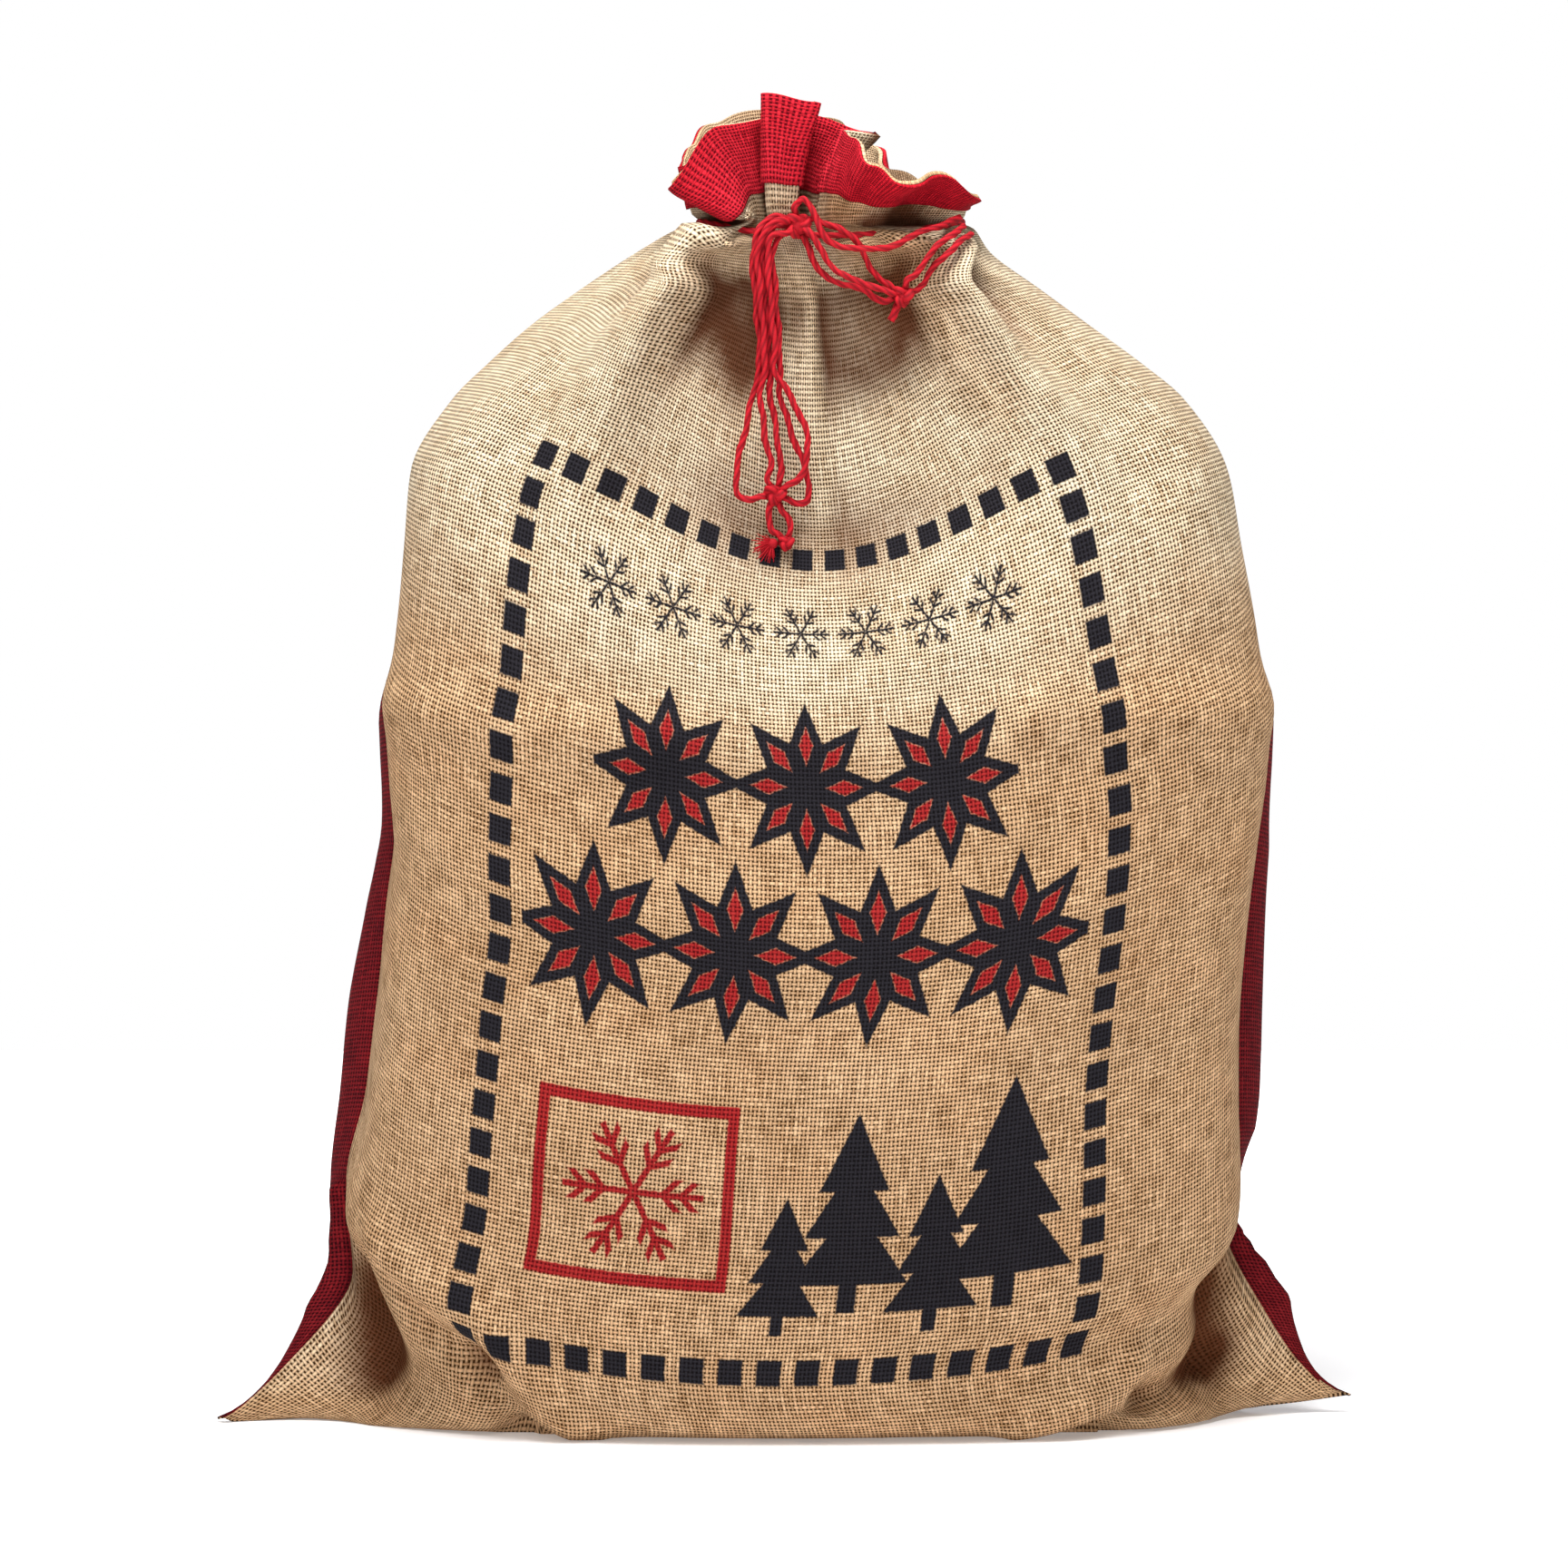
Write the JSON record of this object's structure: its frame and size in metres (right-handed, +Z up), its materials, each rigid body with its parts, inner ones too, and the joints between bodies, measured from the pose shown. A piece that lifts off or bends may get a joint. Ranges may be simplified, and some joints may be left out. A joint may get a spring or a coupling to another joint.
{
  "type": "filled drawstring sack of hessian",
  "caption": "Standing hessian sack with natural front and red back, gathered at a neck tied with red yarn under a ruffled red heading.",
  "frame": {"origin": "middle of the bottom seam, on the surface it stands on", "axes": "+Z up to the mouth, -Y out of the natural front, +X to the right as seen from the front"},
  "size_m": [0.4954, 0.1886, 0.582],
  "materials": {
    "jute": "open plain weave",
    "dark_red_jute": "open plain weave",
    "red_heading": "plain weave",
    "red_yarn": "twisted cotton"
  },
  "bodies": {
    "root": {"front_panel": "jute", "back_panel": "dark_red_jute", "heading_front": "red_heading", "heading_back": "red_heading", "drawstring_ring": "red_yarn", "knot_front": "red_yarn", "knot_lower": "red_yarn", "knot_end": "red_yarn", "knot_right": "red_yarn", "tassel": "red_yarn", "yarn_left_1": "red_yarn", "yarn_left_2": "red_yarn", "yarn_left_3": "red_yarn", "yarn_left_4": "red_yarn", "yarn_left_5": "red_yarn", "yarn_tail_1": "red_yarn", "yarn_tail_2": "red_yarn", "yarn_right_1": "red_yarn", "yarn_right_2": "red_yarn", "yarn_right_3": "red_yarn", "yarn_right_4": "red_yarn", "yarn_right_5": "red_yarn", "yarn_right_6": "red_yarn", "yarn_right_stub": "red_yarn"}
  },
  "joints": []
}
